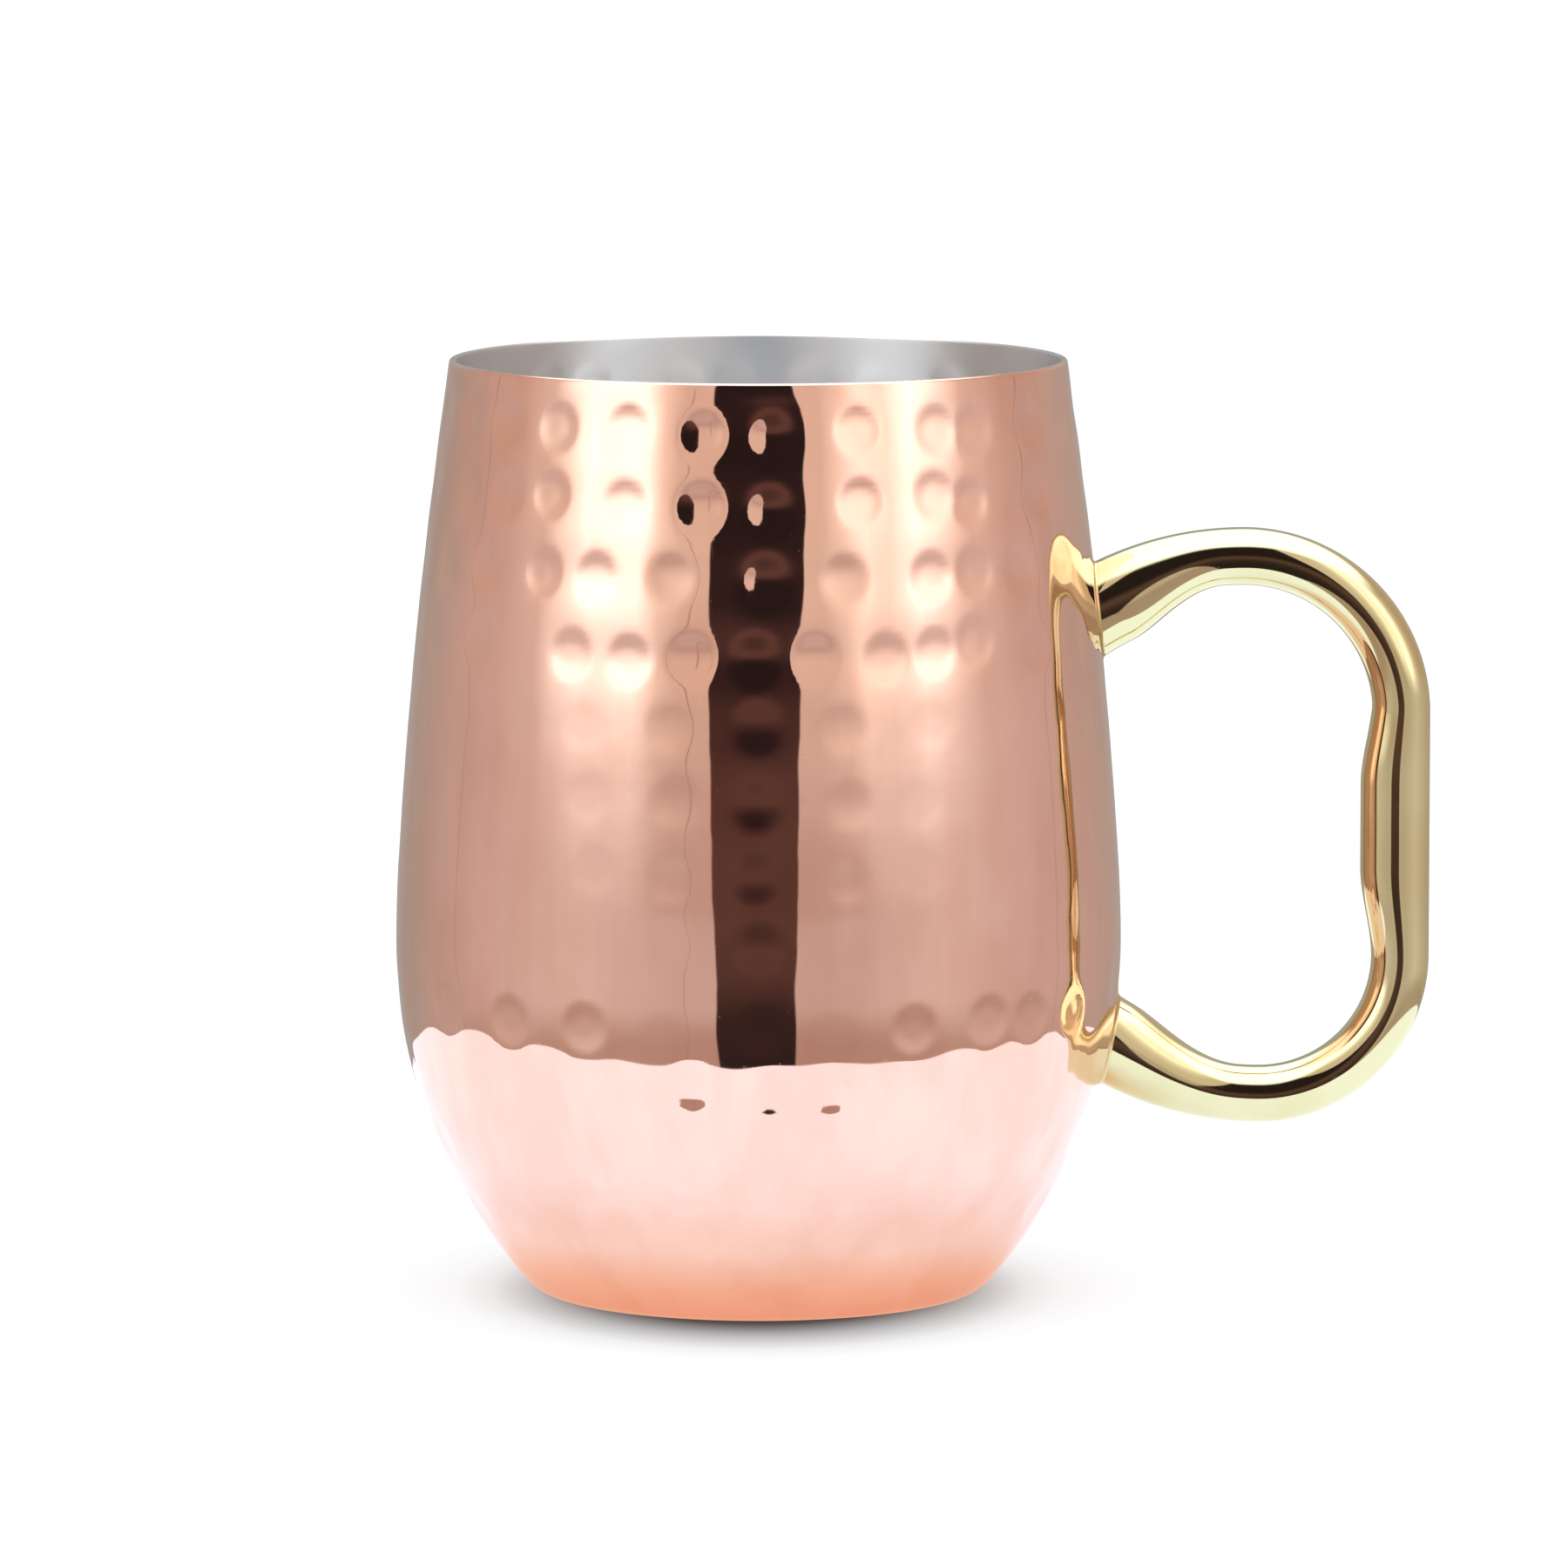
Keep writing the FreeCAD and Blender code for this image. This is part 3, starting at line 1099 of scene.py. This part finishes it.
@dataclass(frozen=True)
class Surroundings:
    """What the bright metal reflects: tan walls, two soft boxes, a dark gap at the front and a ceiling.

    Places are in degrees: round, from the front towards the handle, and up from level. The walls'
    colours are given round them at three levels, and blend in between. A dull band lies about level
    across the front, and the walls have thin, dark seams. The camera itself sees plain white.
    """

    brightest: float = 2.4
    high: tuple = (
        (-180, (0.42, 0.42, 0.44)), (-150, (0.46, 0.48, 0.52)), (-125, (0.58, 0.44, 0.37)),
        (-98, (0.64, 0.49, 0.42)), (-80, (0.84, 0.72, 0.66)), (-72, (1.5, 1.45, 1.4)),
        (-62, (2.0, 2.0, 2.0)), (-42, (1.9, 1.9, 1.9)), (-34, (1.1, 1.0, 0.92)),
        (-26, (0.80, 0.67, 0.59)),
        (22, (0.80, 0.67, 0.59)), (30, (1.05, 0.92, 0.84)), (37, (1.55, 1.45, 1.38)),
        (46, (1.4, 1.3, 1.22)),
        (58, (2.0, 2.0, 2.0)), (68, (1.5, 1.45, 1.4)), (80, (0.86, 0.72, 0.66)), (98, (0.64, 0.49, 0.42)),
        (120, (0.59, 0.44, 0.37)), (150, (0.60, 0.52, 0.47)), (180, (0.42, 0.42, 0.44)),
    )
    middle: tuple = (
        (-180, (0.42, 0.39, 0.37)), (-150, (0.43, 0.40, 0.37)), (-100, (0.64, 0.52, 0.51)),
        (-60, (0.76, 0.68, 0.67)), (-25, (0.62, 0.53, 0.51)), (25, (0.62, 0.53, 0.51)),
        (60, (0.77, 0.68, 0.67)), (100, (0.65, 0.53, 0.52)), (150, (0.48, 0.42, 0.38)),
        (180, (0.42, 0.39, 0.37)),
    )
    low: tuple = (
        (-180, (0.40, 0.33, 0.30)), (-60, (0.53, 0.42, 0.37)), (-25, (0.49, 0.36, 0.32)),
        (25, (0.49, 0.36, 0.32)), (60, (0.53, 0.42, 0.37)), (180, (0.40, 0.33, 0.30)),
    )
    low_to_middle: tuple = (-20.0, -11.0)
    middle_to_high: tuple = (-2.0, 9.5)
    dull_height: tuple = (-1.5, 2.2, 4.0)
    dull_round: tuple = (-36.0, 36.0, 16.0)
    dull_colour: tuple = (0.52, 0.38, 0.33)
    dull_share: float = 0.5
    ceiling: tuple = (2.05, 2.15, 2.3)
    ceiling_rise: tuple = (36.0, 50.0)
    gap_low: tuple = (-12.3, 10.7)
    gap_high: tuple = (-16.0, 12.9)
    gap_widening: tuple = (-5.0, 8.0)
    gap_edge: float = 0.4
    gap_top: tuple = (46.0, 38.0)
    gap_tones: tuple = (
        (-28, (0.026, 0.019, 0.019)), (-14, (0.045, 0.026, 0.025)), (-8, (0.075, 0.042, 0.038)),
        (-2.5, (0.115, 0.062, 0.052)), (1.5, (0.110, 0.058, 0.050)), (4.5, (0.066, 0.035, 0.034)),
        (7.5, (0.032, 0.019, 0.020)), (11, (0.022, 0.015, 0.017)),
    )
    seams: tuple = (-112.0, -23.6, 110.0)
    seam_width: float = 0.5
    seam_edge: float = 0.3
    seam_top: tuple = (13.0, 10.0)
    seam_fading: tuple = (1.0, 4.0)
    seam_faint: float = 0.45
    seam_colour: tuple = (0.22, 0.14, 0.11)
    seam_share: float = 0.55

    def build(self) -> None:
        """Makes the world: plain white to the camera, and the surroundings to everything else."""
        world = bpy.data.worlds.new("studio")
        world.use_nodes = True
        bpy.context.scene.world = world
        graph = Graph(world.node_tree)
        direction = graph.node("ShaderNodeTexCoord").outputs["Generated"]
        parts = graph.node("ShaderNodeSeparateXYZ", inputs={0: direction}).outputs
        x, y, z = (Value(graph, part) for part in parts)
        azimuth = graph.maths("ARCTAN2", x, 0 - y) * math.degrees(1)
        elevation = graph.maths("ARCSINE", z) * math.degrees(1)
        round_share = azimuth / 360 + 0.5
        high, middle, low = (
            graph.ramp(round_share, ramp_stops(stops, 360, 0.5, self.brightest))
            for stops in (self.high, self.middle, self.low)
        )
        colour = graph.mix(graph.step(elevation, *self.low_to_middle), low, middle)
        dull = graph.band(elevation, *self.dull_height) * graph.band(azimuth, *self.dull_round)
        colour = graph.mix(dull * self.dull_share, colour, dimmed(self.dull_colour, self.brightest))
        colour = graph.mix(graph.step(elevation, *self.middle_to_high), colour, high)
        seam = graph.band(azimuth, self.seams[0], self.seams[0] + self.seam_width, self.seam_edge)
        for place in self.seams[1:]:
            seam = seam + graph.band(azimuth, place, place + self.seam_width, self.seam_edge)
        seam = seam * graph.step(elevation, *self.seam_top)
        seam = seam * (self.seam_faint + graph.step(elevation, *self.seam_fading) * (1 - self.seam_faint))
        colour = graph.mix(seam * self.seam_share, colour, dimmed(self.seam_colour, self.brightest))
        gap_colour = graph.ramp(elevation / 180 + 0.5, ramp_stops(self.gap_tones, 180, 0.5, self.brightest))
        rise = graph.step(elevation, *self.gap_widening)
        left, right = (azimuth - (bottom + (top - bottom) * rise)
                       for bottom, top in zip(self.gap_low, self.gap_high))
        edge = self.gap_edge
        in_gap = graph.step(left, -edge, edge) * graph.step(right, edge, -edge)
        in_gap = in_gap * graph.step(elevation, *self.gap_top)
        colour = graph.mix(in_gap, colour, gap_colour)
        above = graph.step(elevation, *self.ceiling_rise)
        colour = graph.mix(above, colour, dimmed(self.ceiling, self.brightest))
        around = graph.node("ShaderNodeBackground", inputs={"Color": colour, "Strength": self.brightest})
        plain = graph.node("ShaderNodeBackground", inputs={"Color": (1, 1, 1, 1), "Strength": 1.0})
        seen = graph.node("ShaderNodeLightPath").outputs["Is Camera Ray"]
        both = graph.node("ShaderNodeMixShader", inputs={0: seen, 1: around.outputs[0], 2: plain.outputs[0]})
        graph.node("ShaderNodeOutputWorld", inputs={"Surface": both.outputs[0]})
        log.info("surroundings: %d places round", len(self.high))


@dataclass(frozen=True)
class Floor:
    """A wide, plain, pale floor. In the metal it shows as a lit, oval board under the mug.

    A ramp's places are distances from the mug's axis in metres. For the painted shadow's ramp and the
    fill, the distance along X is stretched first.
    """

    half_width: float = 12.0
    # Painted shadow: the floor's colour, darker towards the mug.
    painted_shadow_tones: tuple = (
        (0.0275, (0.30, 0.30, 0.30)), (0.033, (0.60, 0.61, 0.61)), (0.045, (0.88, 0.90, 0.905)),
        (0.095, (0.97, 0.975, 0.98)),
    )
    # Painted light and painted shadow: the floor's own light, dimmer towards the mug.
    fill: tuple = (
        (0.0265, (0.06, 0.06, 0.06)), (0.0285, (0.11, 0.11, 0.11)), (0.0325, (0.27, 0.27, 0.27)),
        (0.0367, (0.48, 0.48, 0.48)), (0.0405, (0.64, 0.64, 0.64)), (0.046, (0.86, 0.86, 0.86)),
        (0.052, (0.96, 0.96, 0.96)), (0.064, (1.0, 1.0, 1.0)),
    )
    fill_share: float = 0.8
    fill_stretch: float = 1.4
    board_centre: float = 25.0 * MM
    board_half: tuple = (157.0 * MM, 134.0 * MM)
    board_edge: tuple = (0.985, 1.015)
    level: float = -0.05 * MM
    brightest: float = 1.6
    reach: float = 0.1
    # Painted reflection of a lit board: whiter away from the mug, with painted copper-tinted bounce light and
    # shade under it.
    painted_board_light: tuple = (
        (0.027, (0.92, 0.52, 0.38)), (0.031, (0.98, 0.66, 0.54)), (0.037, (1.04, 0.96, 0.97)),
        (0.046, (1.10, 1.13, 1.27)), (0.057, (1.16, 1.25, 1.44)), (0.092, (1.20, 1.29, 1.47)),
    )

    def build(self) -> bpy.types.Object:
        """Makes the floor: one square.

        To the camera and to soft light it is matt, lifted by a fill of painted light of its own, and darker
        under the mug, with a painted shadow in both its colour and that light. To a reflected ray it glows
        inside the board with painted light, whiter away from the mug and copper-tinted under it as painted
        bounce light, and it isn't there outside the board.

        Returns:
            The floor.
        """
        material, graph = new_material("pale_floor")
        _, x, y, _ = graph.place()
        across = x / self.board_half[0]
        along = (y - self.board_centre) / self.board_half[1]
        outside = graph.step(across * across + along * along, *self.board_edge)
        radius = graph.maths("SQRT", x * x + y * y)
        # Painted reflection: the board's own light as the metal sees it.
        painted_board_light = graph.ramp(radius / self.reach, ramp_stops(self.painted_board_light, self.reach, brightest=self.brightest))
        board = graph.node("ShaderNodeEmission", inputs={"Color": painted_board_light, "Strength": self.brightest})
        through = graph.node("ShaderNodeBsdfTransparent")
        mirrored = graph.node(
            "ShaderNodeMixShader", inputs={0: outside, 1: board.outputs[0], 2: through.outputs[0]})
        oval = graph.maths("SQRT", x * x * self.fill_stretch ** 2 + y * y)
        # Painted shadow in the floor's colour, and painted light, dimmer under the mug, in its fill.
        matt, fill = (graph.ramp(oval / self.reach, ramp_stops(stops, self.reach))
                      for stops in (self.painted_shadow_tones, self.fill))
        pale = graph.node("ShaderNodeBsdfDiffuse", inputs={"Color": matt})
        # The floor glows with painted light of its own here.
        lifted = graph.node("ShaderNodeEmission", inputs={"Color": fill, "Strength": 1.0})
        pale = graph.node(
            "ShaderNodeMixShader", inputs={0: self.fill_share, 1: pale.outputs[0], 2: lifted.outputs[0]})
        reflected = graph.node("ShaderNodeLightPath").outputs["Is Glossy Ray"]
        both = graph.node(
            "ShaderNodeMixShader", inputs={0: reflected, 1: pale.outputs[0], 2: mirrored.outputs[0]})
        graph.node("ShaderNodeOutputMaterial", inputs={"Surface": both.outputs[0]})
        material.cycles.emission_sampling = "NONE"
        mesh = bpy.data.meshes.new("floor")
        corners = ((-1, -1), (1, -1), (1, 1), (-1, 1))
        mesh.from_pydata([(a * self.half_width, b * self.half_width, self.level) for a, b in corners], [],
                         [(0, 1, 2, 3)])
        mesh.materials.append(material)
        floor = bpy.data.objects.new("floor", mesh)
        bpy.context.scene.collection.objects.link(floor)
        return floor


@dataclass(frozen=True)
class CameraRig:
    """The camera: straight on to the side of the mug, a little above it, with a long lens."""

    across: float = 3.09 * MM
    distance: float = 1354.85 * MM
    height: float = 222.54 * MM
    pitch: float = 6.77
    lens: float = 258.3
    sensor: float = 36.0
    clip: tuple = (0.05, 100.0)

    def build(self) -> bpy.types.Object:
        """Makes the camera and gives it to the scene.

        Returns:
            The camera.
        """
        data = bpy.data.cameras.new("camera")
        data.lens = self.lens
        data.sensor_width = self.sensor
        data.clip_start, data.clip_end = self.clip
        camera = bpy.data.objects.new("camera", data)
        camera.location = (self.across, -self.distance, self.height)
        camera.rotation_euler = (math.radians(90 - self.pitch), 0, 0)
        bpy.context.scene.collection.objects.link(camera)
        bpy.context.scene.camera = camera
        return camera


def main() -> None:
    """Builds the studio and every piece of the mug."""
    logging.basicConfig(level=logging.INFO, format="%(name)s: %(message)s")
    CameraRig().build()
    Surroundings().build()
    Floor().build()
    bpy.context.scene.view_settings.view_transform = "Standard"

    shell_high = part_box("outer_shell")[1]
    profile = Profile(height=shell_high.z, belly_radius=shell_high.x)
    roots = []
    for root in Root:
        low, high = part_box(f"{root.name.lower()}_braze")
        roots.append(((low.z + high.z) / 2, (high.z - low.z) / 2))
    hammering = Hammering(profile, roots)
    shell = Layer(profile, hammering, "outer_shell", Slot.COPPER, shown=0.0, hidden=COPPER_BACK)
    shell.build(HammeredCopper().material())
    liner = Layer(profile, hammering, "liner", Slot.STEEL, STEEL_FACE, STEEL_BACK, wall_rows=140)
    liner.build(SatinSteel().material())

    low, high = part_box("handle")
    handle = Handle(profile, back=high.x, middle=(low.z + high.z) / 2, rise=(high.z - low.z) / 2)
    handle.build(PolishedBrass().material())
    filler = BrazeFiller().material()
    for root in Root:
        Braze(handle, root).build(filler)


if __name__ == "__main__":
    main()
